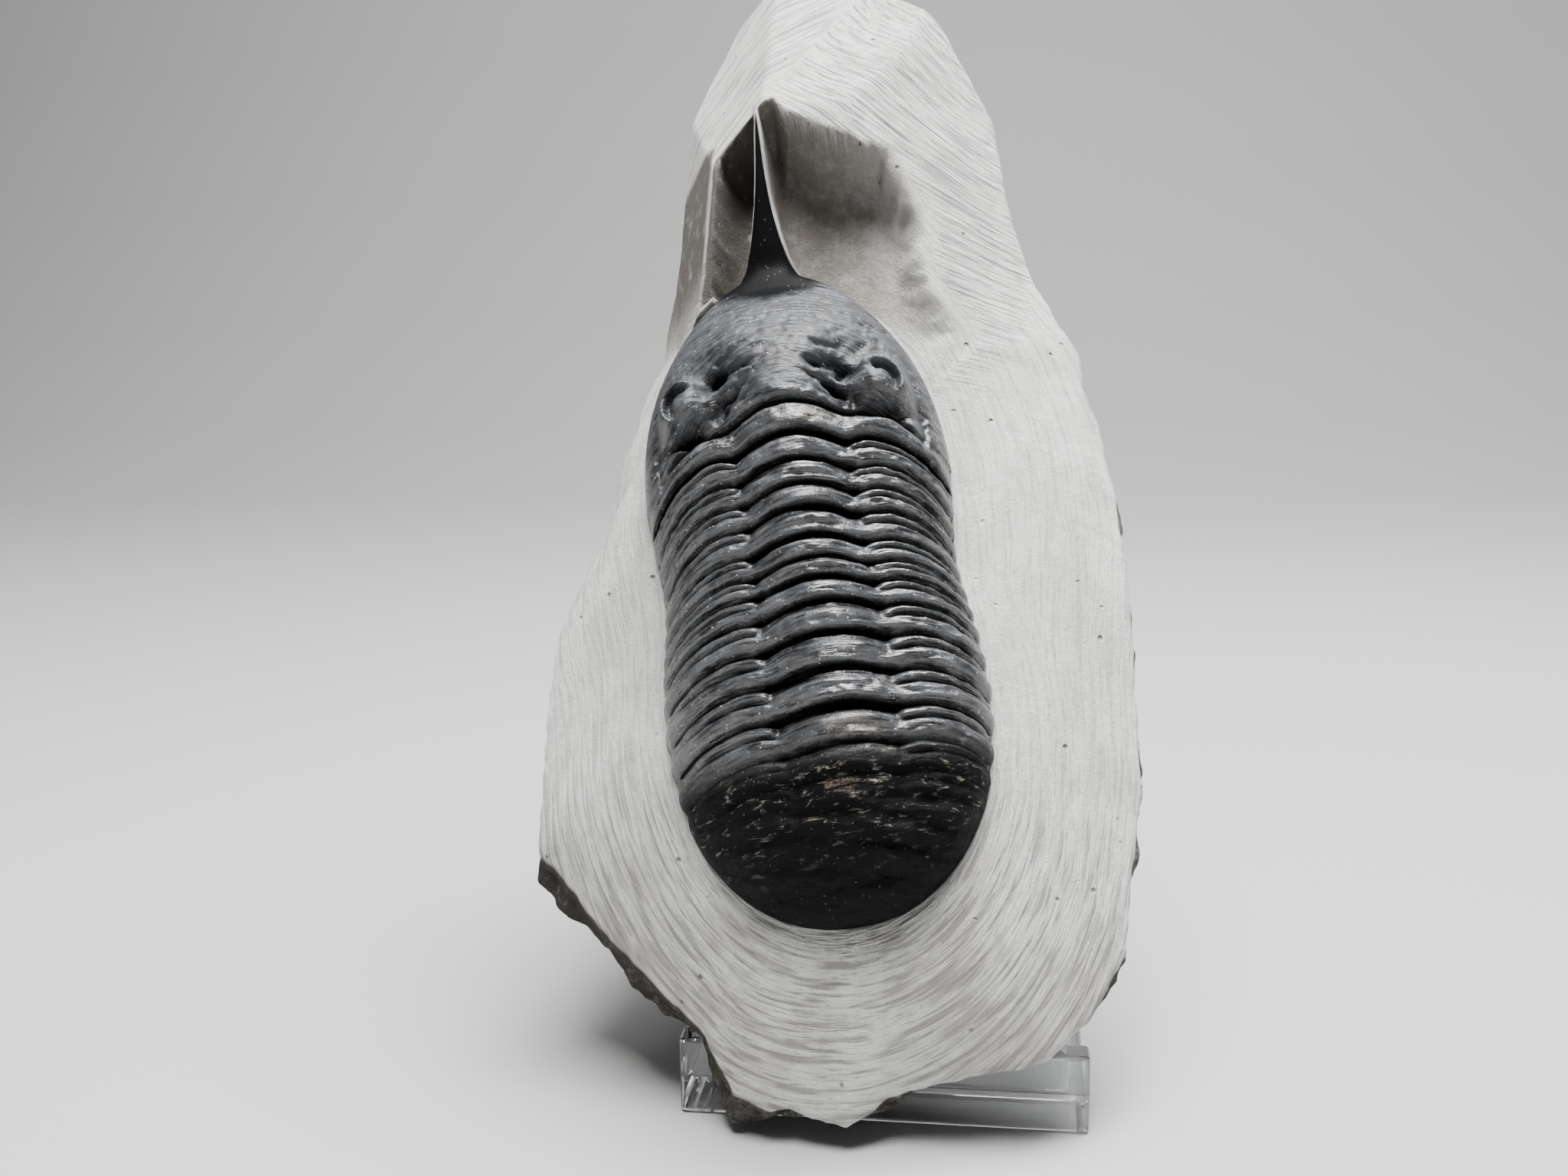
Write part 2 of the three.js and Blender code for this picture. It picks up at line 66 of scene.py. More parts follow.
def hill(distance, width):
    return np.exp(-(np.asarray(distance) / width) ** 2)


def mix(a, b, share):
    return a + (b - a) * share


# A smooth line through [place, value] pairs, with no overshoot between them.
def through(pairs):
    places, values = (np.array(column, float) for column in zip(*pairs))
    slopes = np.diff(values) / np.diff(places)
    before, after = np.append(slopes[0], slopes), np.append(slopes, slopes[-1])
    total = np.where(before * after > 0, before + after, 1)
    bends = np.where(before * after > 0, 2 * before * after / total, 0)

    def at(x):
        x = np.clip(x, places[0], places[-1])
        i = np.clip(np.searchsorted(places, x) - 1, 0, len(slopes) - 1)
        span = places[i + 1] - places[i]
        t = (x - places[i]) / span
        start = bends[i] * span * t * (1 - t) ** 2
        end = bends[i + 1] * span * t * t * (t - 1)
        return mix(values[i], values[i + 1], t * t * (3 - 2 * t)) + start + end

    return at


lattice = np.random.default_rng(7).random((48, 48, 48)) * 2 - 1


# Soft random lumps of about this size, from -1 to 1
def lumps(points, size, seed=0):
    p = np.stack(np.broadcast_arrays(*points), -1) / size + 11.3 * seed + 480
    low = np.floor(p).astype(int)
    t = p - low
    t = t * t * (3 - 2 * t)
    total = 0
    for corner in np.ndindex(2, 2, 2):
        i = (low + corner) % 48
        weight = np.prod(np.where(corner, t, 1 - t), axis=-1)
        total = total + weight * lattice[i[..., 0], i[..., 1], i[..., 2]]
    return total


# Lumps with finer and lower lumps on them
def layers(points, size, seed=0, count=3):
    return sum(lumps(points, size / 2 ** k, seed + k) / 2 ** k for k in range(count))


# How deep a point lies in a furrow drawn from start to end, from 0 to 1.
def along(u, v, start, end, width):
    (u0, v0), (u1, v1) = start, end
    t = ((u - u0) * (u1 - u0) + (v - v0) * (v1 - v0)) / ((u1 - u0) ** 2 + (v1 - v0) ** 2)
    t = np.clip(t, 0, 1)
    return hill(np.hypot(u - mix(u0, u1, t), v - mix(v0, v1, t)), width)


# The shell, in mm. Its own frame has u to its right, v towards its head and h off the stone.
shell = {
    "tailEnd": -29.2,
    "headFront": 29.9,
    "noseTip": 43.5,
    "tailWidest": -10,
    "headWidest": 9,
    "tailHalfWidth": 14,
    "headHalfWidth": 13.8,
    "waistHalfWidth": 13,
    "endRoundness": 2.2,
    "bodyDepth": 1.2,
    "segmentEdges": (10.0, 7.3, 5.2, 3.1, 0.5, -1.5, -3.1, -5.2, -7.8, -10.7, -13.6, -16.5, -18.9, -20.8),
    "axisShare": 0.36,  # how much of the half width the rings take
    "ringDepth": 1.6,
    "ribDepth": 0.95,
    "columns": 208,
    "rows": 455,
}

# Widths and heights along the middle line, and how far the ends of each row are swept back
noseHalfWidth = through([
    (27.4, 7.3), (28.8, 5), (30.2, 3.2), (31.8, 2), (34, 1.25), (37, 0.65), (40, 0.3), (42, 0.15),
    (shell["noseTip"], 0),
])
sweep = through([
    (shell["tailEnd"], 0), (-24, 0.8), (-16, 1.6), (-5, 2.3), (8, 3.1), (11.5, 3.9), (17, 5), (24, 6.4),
    (28, 5.4), (29, 4), (29.7, 2), (30.4, 0.7), (31.4, 0),
])
ridge = through([
    (shell["tailEnd"], 0), (-28.7, 2.6), (-27, 5.4), (-24, 8.4), (-20, 10.6), (-16, 11.9), (-9, 12.9),
    (0, 13.2), (10, 13.1), (15, 12.8), (19, 11.8), (23, 9.4), (26, 6.8), (28.5, 4.7), (30.5, 4.3),
    (33, 5.4), (38, 7.9), (shell["noseTip"], 10.4),
])
footHeight = through([(28, 0), (29.5, 0.5), (31, 2), (33, 4), (38, 6.7), (shell["noseTip"], 9.8)])
lobeHeight = through([
    (shell["tailEnd"], 0), (-24, 0.7), (-17, 2), (0, 2.5), (12, 2.4), (18, 1.8), (26, 0.2), (28, 0),
])
lobeShare = through([(12, shell["axisShare"]), (18, 0.45), (24, 0.6)])


def halfWidth(v):
    def rounded(reach):
        return (1 - np.clip(reach, 0, 1) ** shell["endRoundness"]) ** (1 / shell["endRoundness"])

    tailReach = (shell["tailWidest"] - v) / (shell["tailWidest"] - shell["tailEnd"])
    headReach = (v - shell["headWidest"]) / (shell["headFront"] - shell["headWidest"])
    tail = shell["tailHalfWidth"] * rounded(tailReach)
    head = shell["headHalfWidth"] * rounded(headReach)
    waist = (shell["tailHalfWidth"] - shell["waistHalfWidth"]) * hill(v - 0.5, 6)
    middle = mix(tail, head, rise(v, 4, 8.5)) - waist
    body = np.where(v < shell["tailWidest"], tail, np.where(v > shell["headWidest"], head, middle))
    return np.where(v > 27.4, noseHalfWidth(v), body)


# Where s lies in its segment, from 0 at the front edge to 1 at the back edge, with the segment's length
# and number.
def segmentPlace(s):
    edges = np.array(shell["segmentEdges"])
    k = np.clip(np.searchsorted(-edges, -s, side="right") - 1, 0, len(edges) - 2)
    pitch = edges[k] - edges[k + 1]
    inside = (s <= edges[0]) & (s > edges[-1])
    return np.clip((edges[k] - s) / pitch, 0, 1), pitch, k, inside


# Rings over the middle, which part into a thin front rib and a thick back rib on each flank.
def segmentRelief(s, side, u, v):
    phase, pitch, k, inside = segmentPlace(s)
    out = np.abs(side)
    axis = shell["axisShare"]
    hand = np.where(side > 0, 0.5, 0.1)
    wobble = 0.05 * lumps((u, v, 0 * u), 4.5, 3)
    phase = np.clip(phase + wobble * np.sin(np.pi * phase), 0, 1)

    crest = rise(phase, 0.05, 0.46) ** 0.7 * rise(phase, 1.0, 0.82)
    crest = crest * (1 - 0.12 * rise(layers((u, v, 0 * u), 3, 15), 0, 0.8))
    wrinkles = -0.3 * np.abs(layers((u * 0.5, v * 1.8, 0 * u), 1.1, 17)) * (1 - 0.6 * crest)
    chipped = 0.7 * np.minimum(0, layers((u * 0.7, v, 0 * u), 1.5, 27) + 0.1) * hill(phase - 0.72, 0.2)
    halfRing = 0.34 * hill(phase - 0.14, 0.05) * rise(lumps((k * 3.7, u / 9, 0 * u), 1, 5), -0.3, 0)
    ring = -shell["ringDepth"] * np.minimum(1, pitch / 2.4) * (1 - crest - halfRing) + wrinkles + chipped

    # the two ribs part at the furrow beside the ring and draw together again at the margin
    split = rise(out, axis - 0.02, axis + 0.06) * (1 - 0.55 * rise(out, 0.75, 1))
    gap = hill(np.minimum(phase, 1 - phase), 0.115)
    furrow = hill(phase - 0.4 + 0.04 * hand, mix(0.05, 0.1, rise(out, axis, 0.6))) * split
    overlap = 0.45 * (phase - 0.6) * rise(out, 0.5, 0.85)
    thin = -0.1 * rise(phase, 0.5, 0.3) * rise(out, axis, 0.5)
    scored = -0.32 * np.abs(layers((u * 0.5, v * 2.2, 0 * u), 1.3, 19))
    ribs = -shell["ribDepth"] * (gap + 0.8 * furrow) + overlap + thin + scored

    onAxis = 1 - rise(out, axis - 0.1, axis + 0.04)
    knot = 0.25 * hill(out - axis, 0.05) * hill(phase - 0.7, 0.16)
    axialFurrow = -0.5 * hill(out - axis + 0.01, 0.035) * (1 - 0.85 * hill(phase - 0.7, 0.18))
    worn = rise(s, -21.5, -17) * (1 - 0.5 * rise(s, -14, -18))
    return np.where(inside, worn * (mix(ribs, ring, onAxis) + knot + axialFurrow), 0)


slits = (
    {"from": (2.9, 16.9), "to": (5.3, 16.3), "width": 0.45, "depth": 1.0},
    {"from": (4.9, 16.8), "to": (5.9, 16.0), "width": 0.6, "depth": 0.9},
    {"from": (2.7, 15.2), "to": (5.0, 14.1), "width": 0.35, "depth": 0.8},
    {"from": (4.2, 14.5), "to": (5.8, 13.2), "width": 0.6, "depth": 1.0},
    {"from": (3.2, 13.8), "to": (5.0, 13.0), "width": 0.3, "depth": 0.6},
    {"from": (3.2, 18.5), "to": (5.4, 18.3), "width": 0.2, "depth": 0.35},
)
eye = {"middle": (8.6, 14.7), "size": (2.5, 2.6), "height": 3.0, "ridge": 1.0}


# An eye is a lobe with a high crescent outside and in front, a pit behind and a low rim below that.
def eyeRelief(right, y, jitter, pitDepth):
    (eu, ev), (du, dv) = eye["middle"], eye["size"]
    reach = np.hypot((right - eu) / du, (y - ev) / dv) + 0.06 * jitter
    dome = eye["height"] * np.exp(-reach ** 3.2) * (1 - 0.35 * rise(right, 8.2, 6.2))
    bearing = np.arctan2(y - ev, right - eu)
    rim = eye["ridge"] * hill(reach - 0.78, 0.17) * rise(np.cos(bearing - 0.75), -0.45, 0.25)
    lid = -1.1 * hill(reach - 0.48, 0.16) * rise(np.cos(bearing - 0.6), -0.1, 0.5)
    pit = pitDepth * hill((right - 8.5) / 1.6, 1) * hill((y - 12.3) / 0.75, 1)
    below = 0.55 * hill(right - 9, 1.8) * hill(y - 11.2, 0.35)
    return dome + rim + lid + below - pit


def headRelief(s, side, u, v):
    right = np.abs(u)
    ahead = np.where(u < 0, 0.55, 0)  # the left side of this head sits a little further forward
    y = v - ahead
    jitter = 0.35 * layers((u, v, 0 * u), 1.2, 8)

    neck = -1.35 * hill(s - 12.8 + 0.1 * jitter, 0.42) * (1 - rise(right, 9, 12))
    border = -1.6 * hill(s - 9.9, 0.36)
    shoulder = 0.35 * hill(s - 11.2, 0.8) * rise(right, 4.5, 6)
    swelling = 0.5 * hill(np.hypot(right - 3.6, (v - 20.2) * 0.9), 2.6)
    edgeFurrow = 0.6 * hill(np.abs(side) - 0.84, 0.03) * rise(s, 10.5, 12) * (1 - rise(s, 19, 23))
    cuts = sum(
        cut["depth"] * along(right + jitter, y + jitter, cut["from"], cut["to"], cut["width"])
        for cut in slits
    )
    eyes = eyeRelief(right, y, jitter, 2.6 * np.where(u < 0, 1.3, 1))

    # chipped and scratched where it was dug out, most of all round the slits
    near = hill(y - 15.8, 3.2) * hill(right - 4.4, 2.6)
    chips = 0.9 * np.minimum(0, layers((u, v, 0 * u), 1.1, 21)) * near
    scraped = 0.25 * np.minimum(0, layers((u + v, (v - u) * 1.6, 0 * u), 1.2, 25))
    onHead = rise(s, 9.2, 9.9) * (1 - rise(s, 26, 28))
    relief = neck + border + shoulder + swelling + eyes - np.minimum(cuts, 1.2) - edgeFurrow
    return onHead * (relief + chips + scraped)


# The share of that sweep at a place from 0 in the middle to 1 at the margin
def bendOf(s, out):
    wing = np.clip((out - 0.45) / 0.55, 0, 1) ** 1.6
    thorax = 0.86 * wing + 0.14 * hill(out - shell["axisShare"], 0.12) + 0.14 * rise(out, 0.7, 1)
    return mix(thorax, out ** 2, rise(s, 11, 15))


# The shell leans a little to its right, more towards the tail, and its nose bends to the right.
def leaned(u, v, h):
    lean = np.clip(0.09 - 0.0045 * v, 0.02, 0.18)
    return u + h * lean + np.clip((v - 30) / 13.5, 0, 1) ** 1.3, v, h


# A point of the shell's top: s is its row's place on the middle line, side runs from -1 to 1 across
def shellTop(s, side):
    endV = s - sweep(s)
    out = np.abs(side)
    phase, _, _, inside = segmentPlace(s)
    nicks = np.where(inside, 0.3 * (1 - hill(phase - 0.62, 0.3)) * rise(s, -20, -16) * rise(s, 9.8, 8.5), 0)
    u = side * (halfWidth(endV) - nicks * rise(out, 0.8, 1))
    v = s - sweep(s) * bendOf(s, out)
    foot, lobe = footHeight(endV), lobeHeight(s)
    arch = np.sqrt(1 - out ** 2.6)
    crown = (0.5 + 0.5 * np.cos(np.pi * np.clip(out / lobeShare(s) / 1.12, 0, 1))) ** 0.85
    fade = 1 - rise(out, 0.95, 1)
    relief = (segmentRelief(s, side, u, v) + headRelief(s, side, u, v)) * fade
    cheek = -1.1 * hill(np.abs(u) - 8, 3.2) * rise(s, 11, 13) * (1 - rise(s, 19, 23))
    onBody = 1 - rise(v, 26, 29)
    grain = (0.07 * layers((u, v, 0 * u), 1.1, 31) - 0.16) * onBody
    onTail = rise(s, -16, -20)
    tailRough = (0.34 * layers((u / 2.4, v, 0 * u), 1.0, 41) - 0.2) * onTail * rise(s, -29, -27)
    tailRings = 0.2 * np.cos((v + 0.16 * u) * 2 * np.pi / 1.9) * rise(s, -19, -21.5) * rise(s, -28, -25)
    h = foot + (ridge(s) - lobe - foot) * arch + lobe * crown + relief
    h = h + (grain + cheek + tailRough + tailRings) * fade
    return leaned(u, v, np.maximum(h, foot)), relief


turnCos, turnSin = math.cos(math.radians(setting["bodyTurn"])), math.sin(math.radians(setting["bodyTurn"]))


# From the shell's frame to the stone's, and back
def toStone(u, v, h):
    x = setting["bodyMiddle"][0] + u * turnCos - v * turnSin
    return x, setting["bodyMiddle"][1] + u * turnSin + v * turnCos, h


def toShell(x, y):
    dx, dy = x - setting["bodyMiddle"][0], y - setting["bodyMiddle"][1]
    return dx * turnCos + dy * turnSin, dy * turnCos - dx * turnSin


stonePlace = (
    Matrix.Translation(lipFront)
    @ Matrix.Scale(mm, 4)
    @ Matrix.Translation(setting["stoneMiddle"])
    @ Matrix.Rotation(math.radians(90 - setting["leanBack"]), 4, "X")
)


# From the stone's frame to the scene, in metres
def placed(x, y, z):
    points = np.stack(np.broadcast_arrays(x, y, z), -1)
    m = np.array(stonePlace)
    return points @ m[:3, :3].T + m[:3, 3]


# A closed skin from a grid: its columns go round, its rows run from one end to the other.
# place takes the column and row of every point. It gives the points and what the materials read from them.
def skin(name, columns, rows, place):
    bm = bmesh.new()
    bmesh.ops.create_grid(bm, x_segments=columns, y_segments=rows, size=1)
    mesh = bpy.data.meshes.new(name)
    bm.to_mesh(mesh)
    grid = np.zeros(len(mesh.vertices) * 3)
    mesh.vertices.foreach_get("co", grid)
    i = np.rint((grid[0::3] + 1) / 2 * columns).astype(int) % columns
    j = np.rint((grid[1::3] + 1) / 2 * rows).astype(int)
    points, notes = place(i, j)
    mesh.vertices.foreach_set("co", points.ravel())
    for note, values in notes.items():
        isVector = values.ndim == 2
        layer = mesh.attributes.new(note, "FLOAT_VECTOR" if isVector else "FLOAT", "POINT")
        layer.data.foreach_set("vector" if isVector else "value", values.astype(np.float32).ravel())
    bm.clear()
    bm.from_mesh(mesh)
    bmesh.ops.remove_doubles(bm, verts=bm.verts, dist=2e-6)
    bmesh.ops.dissolve_degenerate(bm, dist=1e-7, edges=bm.edges)
    bmesh.ops.recalc_face_normals(bm, faces=bm.faces)
    for face in bm.faces:
        face.smooth = True
    bm.to_mesh(mesh)
    bm.free()
    piece = bpy.data.objects.new(name, mesh)
    bpy.context.scene.collection.objects.link(piece)
    return piece


def makeTrilobite():
    columns, rows, under = shell["columns"], shell["rows"], 12
    top = columns - under
    # more rows where the rings are, fewer on the nose and the tail
    density = through([
        (-29.2, 2.6), (-22, 1.1), (-16, 1.25), (10, 1.25), (20, 1.1), (28, 1.2), (31, 1), (35, 0.45),
        (43.5, 0.5),
    ])
    places = np.linspace(shell["noseTip"], shell["tailEnd"], 4000)
    weight = np.append(0, np.cumsum((density(places[1:]) + density(places[:-1])) / 2))
    rowAt = np.interp(np.linspace(0, weight[-1], rows + 1), weight, places)

    def place(i, j):
        s = rowAt[j]
        side = np.sin(mix(-np.pi / 2, np.pi / 2, np.clip(i / (top - 1), 0, 1)))
        side = mix(side, np.sign(side) * np.abs(side) ** 0.9, 0.5)
        (u, v, h), relief = shellTop(s, side)
        endV = s - sweep(s)
        isUnder = i >= top
        back = mix(0.98, -0.98, (i - top) / (under - 1))
        atEnd = (j == 0) | (j == rows)
        drop = np.where(atEnd, 0, np.minimum(shell["bodyDepth"], halfWidth(endV)))
        lowU, lowV, lowH = leaned(back * halfWidth(endV), mix(s, endV, back ** 2), footHeight(endV) - drop)
        u, v, h = np.where(isUnder, lowU, u), np.where(isUnder, lowV, v), np.where(isUnder, lowH, h)
        points = placed(*toStone(u, v, h))
        notes = {
            "spot": np.stack((u, v, h), -1),
            "rib": np.stack((u, s + 0 * u, 0 * u), -1),
            "relief": np.where(isUnder, 0, relief),
        }
        return points, notes

    return skin("trilobite_fossil", columns, rows, place)


# The stone, in mm. Its own frame has x to the right, y up along its face and z off its face.
stone = {
    "left": ((3.9, -43), (-1, -42), (-5.8, -43), (-9, -37.6), (-15.6, -32.8), (-21, -27.6), (-24.7, -23.5),
             (-25.2, -13), (-25.1, -1), (-23.3, 4), (-21.2, 10), (-20, 17.5), (-17.2, 27.9), (-16.4, 40),
             (-16.2, 56), (-14, 62.5), (-11.5, 68.5), (-7, 70)),
    "right": ((3.9, -43), (9, -40), (14, -38.8), (20.3, -37.4), (24, -33.5), (26.7, -28.7), (27.2, -23),
              (28.5, -15), (28, -5), (27.5, 8), (25.6, 18.2), (23.3, 27.5), (19.5, 34.7), (17.3, 41),
              (15.2, 53), (10.5, 60.5), (6.5, 64.5), (0, 68), (-7, 70)),
    "rimDrop": 6,
    "depth": 31,
    "heart": (0, 10),
    "hollowEdge": ((-11.5, 24), (-10.8, 34), (-10.8, 42.5), (-7, 45), (-5.2, 46.3), (-3.5, 44), (-1, 42.8),
                   (5.3, 42.4), (8.2, 39.5), (9.8, 35.5), (11, 31), (14, 26), (9, 20), (-8, 20)),
    "hollowFloor": 0.6,
    "hollowWall": (2.6, 5),
    "roofTop": (-6, 46, 9.6),
    "tuckedUnder": 0.55,  # how far the stone runs in under the shell's edge
    "columns": 700,
    "faceRows": 96,
    "backRows": 34,
}


# The point at a share t of the way along these points
def walk(points):
    points = np.array(points, float)
    steps = np.append(0, np.cumsum(np.hypot(*np.diff(points, axis=0).T)))

    def at(t):
        return np.interp(t * steps[-1], steps, points[:, 0]), np.interp(t * steps[-1], steps, points[:, 1])

    return at


# How far a point is from a closed line, less than 0 inside it
def edgeDistance(x, y, loop):
    nearest = np.full(np.shape(x), 1e9)
    inside = np.zeros(np.shape(x), bool)
    for (x0, y0), (x1, y1) in zip(loop, loop[1:] + loop[:1]):
        t = np.clip(((x - x0) * (x1 - x0) + (y - y0) * (y1 - y0)) / ((x1 - x0) ** 2 + (y1 - y0) ** 2), 0, 1)
        nearest = np.minimum(nearest, np.hypot(x - mix(x0, x1, t), y - mix(y0, y1, t)))
        if y0 != y1:
            inside ^= ((y0 > y) != (y1 > y)) & (x < x0 + (y - y0) * (x1 - x0) / (y1 - y0))
    return np.where(inside, -nearest, nearest)


# The higher of two surfaces, with the corner between them rounded
def softMax(a, b, width):
    share = np.clip(0.5 + 0.5 * (a - b) / width, 0, 1)
    return mix(b, a, share) + width * share * (1 - share)


# The planes of the roof over the nose
def roofShape(x, y, bumpy):
    rx, ry, rz = stone["roofTop"]
    back = rz - 0.46 * (y - ry)
    left = np.minimum(rz - 0.4 * (y - ry) + 1.15 * (x - rx), 6 + 2.2 * (x + 10.8))
    right = 9 - 1.1 * (x - 5) - 0.12 * (y - 40)
    front = 0.45 * (y - 19)
    soft = mix(0.5, 4, rise(x - 0.5 * (y - 34), 2, 9))
    facets = -softMax(-back, -left, 0.4)
    return -softMax(-facets, softMax(-right, -front, 10), soft) + 0.5 * bumpy


# How strongly the hollow's dark shows, partly its own brown-grey stone and partly painted shade: most by the
# nose, less to the right, none on the nose's thin edge
def hollowToneAndShade(x, y, distance, ragged, edge):
    fading = mix(0.1, 4, rise(x - 0.4 * (y - 34), 4, 10))
    tone = rise(distance, 0.3, -fading) * rise(y, 25, 29) * (1 - 0.45 * rise(x + 0.25 * y, 9, 17)) * edge
    # painted shade: the left flank under the roof's overhang takes the hollow's dark colours
    flankShade = 0.85 * rise(x, -11.2, -11.8) * rise(y + 0.6 * ragged, 46.2, 45.2) * rise(y, 24, 34)
    return np.maximum(tone, flankShade)


# The stone's face: a mound that falls away from the shell, the dug hollow, its roof and the nose's thin bed
def stoneFace(x, y, reach):
    mound = -stone["rimDrop"] * reach ** 1.6
    roof = roofShape(x, y, 0.35 * layers((x, y, 0 * x), 5, 51))
    chipped = rise(x, -4, 3)
    ragged = mix(0.25, 0.75, chipped) * layers((x, y, 0 * x), 2.6, 61)
    distance = edgeDistance(x, y, stone["hollowEdge"]) + ragged
    wall = np.maximum(0, distance / mix(*stone["hollowWall"], rise(x, 2, 9)) + 1)
    flakes = 0.5 * np.abs(layers((x * 0.8, y * 1.3, 0 * x), 2.4, 71)) * chipped * rise(wall, -0.2, 0.3)
    bowl = stone["hollowFloor"] + 9 * wall ** 2.2 + flakes + 0.14 * layers((x, y, 0 * x), 1.6, 73)
    u, v = toShell(x, y)
    beside = np.maximum(0, np.abs(u - leaned(0, v, 8)[0]) - halfWidth(np.maximum(v, 24)) - 0.15)
    byNose = (v > 24) & (v < shell["noseTip"] + 1.5)
    bed = np.where(byNose, mix(-stone["rimDrop"], footHeight(v), np.exp(-(beside / 0.9) ** 1.2)), mound)
    dug = -softMax(-roof, -bowl, mix(0.15, 4.5, rise(x, 1, 9)))
    dug = np.maximum(dug, bed)
    hollow = hollowToneAndShade(x, y, distance, ragged, np.where(byNose, rise(beside, 0, 0.22), 1))
    face = softMax(mound, dug, mix(0.2, 5, rise(x, 6, 14)))
    return face, hollow, rise(roof - mound, -1.5, 1.5) * rise(distance, -0.5, 0.5)


# Columns go round the stone. Row 0 is the bed under the shell, then come the face, the rim and the back.
def makeMatrix():
    columns, faceRows, backRows = stone["columns"], stone["faceRows"], stone["backRows"]
    half = columns // 2
    rows = 1 + faceRows + backRows
    rowPlaces = np.linspace(shell["tailEnd"], shell["noseTip"], 900)
    ends = rowPlaces - sweep(rowPlaces)
    shellEdge = walk(np.stack((halfWidth(ends), ends), -1))
    leftEdge, rightEdge = walk(stone["left"]), walk(stone["right"])
    backGrow = through([
        (0, 1), (2.5, 0.99), (7, 0.95), (13, 0.87), (19, 0.76), (25, 0.6), (29.5, 0.36), (stone["depth"], 0),
    ])

    def place(i, j):
        toLeft = i > half
        side = np.where(toLeft, -1, 1)
        t = 1 - np.abs(i - half) / half
        w, v = shellEdge(t)
        foot = footHeight(v)
        tuck = np.minimum(stone["tuckedUnder"], w * 0.5)
        inX, inY, _ = toStone(*leaned(side * (w - tuck), v, foot))
        outerT = np.where(t < 0.8, t * 0.825, mix(0.66, 1, (t - 0.8) / 0.2))
        leftX, leftY = leftEdge(outerT)
        rightX, rightY = rightEdge(outerT)
        outX, outY = np.where(toLeft, leftX, rightX), np.where(toLeft, leftY, rightY)

        # the rim is chipped, and at the lower left a broken side shows outside it
        outward = np.stack((outX - stone["heart"][0], outY - stone["heart"][1] + 6), -1)
        outward /= np.linalg.norm(outward, axis=-1, keepdims=True)
        broken = np.where(toLeft, rise(outY, -20, -25) * rise(outX, -2, -6), 0)
        chip = 0.3 * layers((outX, outY, 0 * outX), 3.5, 81) - 0.35
        chip = chip - 0.25 * np.abs(lumps((outX, outY, 0 * outX), 1.3, 85))
        rimX = outX + outward[:, 0] * (chip - 1.7 * broken)
        rimY = outY + outward[:, 1] * (chip - 1.7 * broken)

        onFace = (j >= 1) & (j <= faceRows)
        share = np.clip((j - 1) / (faceRows - 1), 0, 1)
        x, y = mix(inX, rimX, share), mix(inY, rimY, share)
        z, hollow, top = stoneFace(x, y, share)
        z = np.where(j == 1, foot, z) - 0.45 * rise(share, 0.985, 1)
        z = mix(foot, z, rise(share, 0, 0.03))

        # the back: from the rim round to the heart
        depth = stone["depth"] * np.clip((j - faceRows) / backRows, 0, 1) ** 1.15
        grow = backGrow(depth)
        rough = layers((outX * grow, outY * grow, depth), 4.5, 91, 4)
        rimZ, _, _ = stoneFace(rimX, rimY, 1.0 + 0 * rimX)
        bulge = rise(depth, 0, 2.5) * (1 - rise(depth, 26, 30))
        wideX, wideY = mix(rimX, outX, rise(depth, 0, 3)), mix(rimY, outY, rise(depth, 0, 3))
        backX = mix(stone["heart"][0], wideX, grow) + outward[:, 0] * bulge * rough * 0.8
        backY = mix(stone["heart"][1], wideY, grow) + outward[:, 1] * bulge * rough * 0.8
        backZ = mix(rimZ - 0.45 - depth, -depth, rise(depth, 3, 20)) + (0.5 * rough + 0.3) * bulge
        x = np.where(j > faceRows, backX, x)
        y = np.where(j > faceRows, backY, y)
        z = np.where(j > faceRows, backZ, z)

        # the floor of the bed under the shell
        bedX, bedY, bedZ = toStone(*leaned(0, v, foot - shell["bodyDepth"] - 0.5))
        x, y, z = np.where(j == 0, bedX, x), np.where(j == 0, bedY, y), np.where(j == 0, bedZ, z)

        around = side * t * 120
        across = share * np.hypot(rimX - inX, rimY - inY)
        brokenFace = np.where(onFace, broken * rise(share, 0.985, 1), 0)
        notes = {
            "around": np.stack((around, across, 0 * x), -1),
            "flat": np.stack((x, y, 0 * x), -1),
            "hollow": np.where(onFace, hollow, 0),
            "broken": np.where(j > faceRows, rise(depth, 0, 0.8), brokenFace),
            "top": np.where(onFace, top, 0),
        }
        return placed(x, y, z), notes

    return skin("limestone_matrix", columns, rows, place)


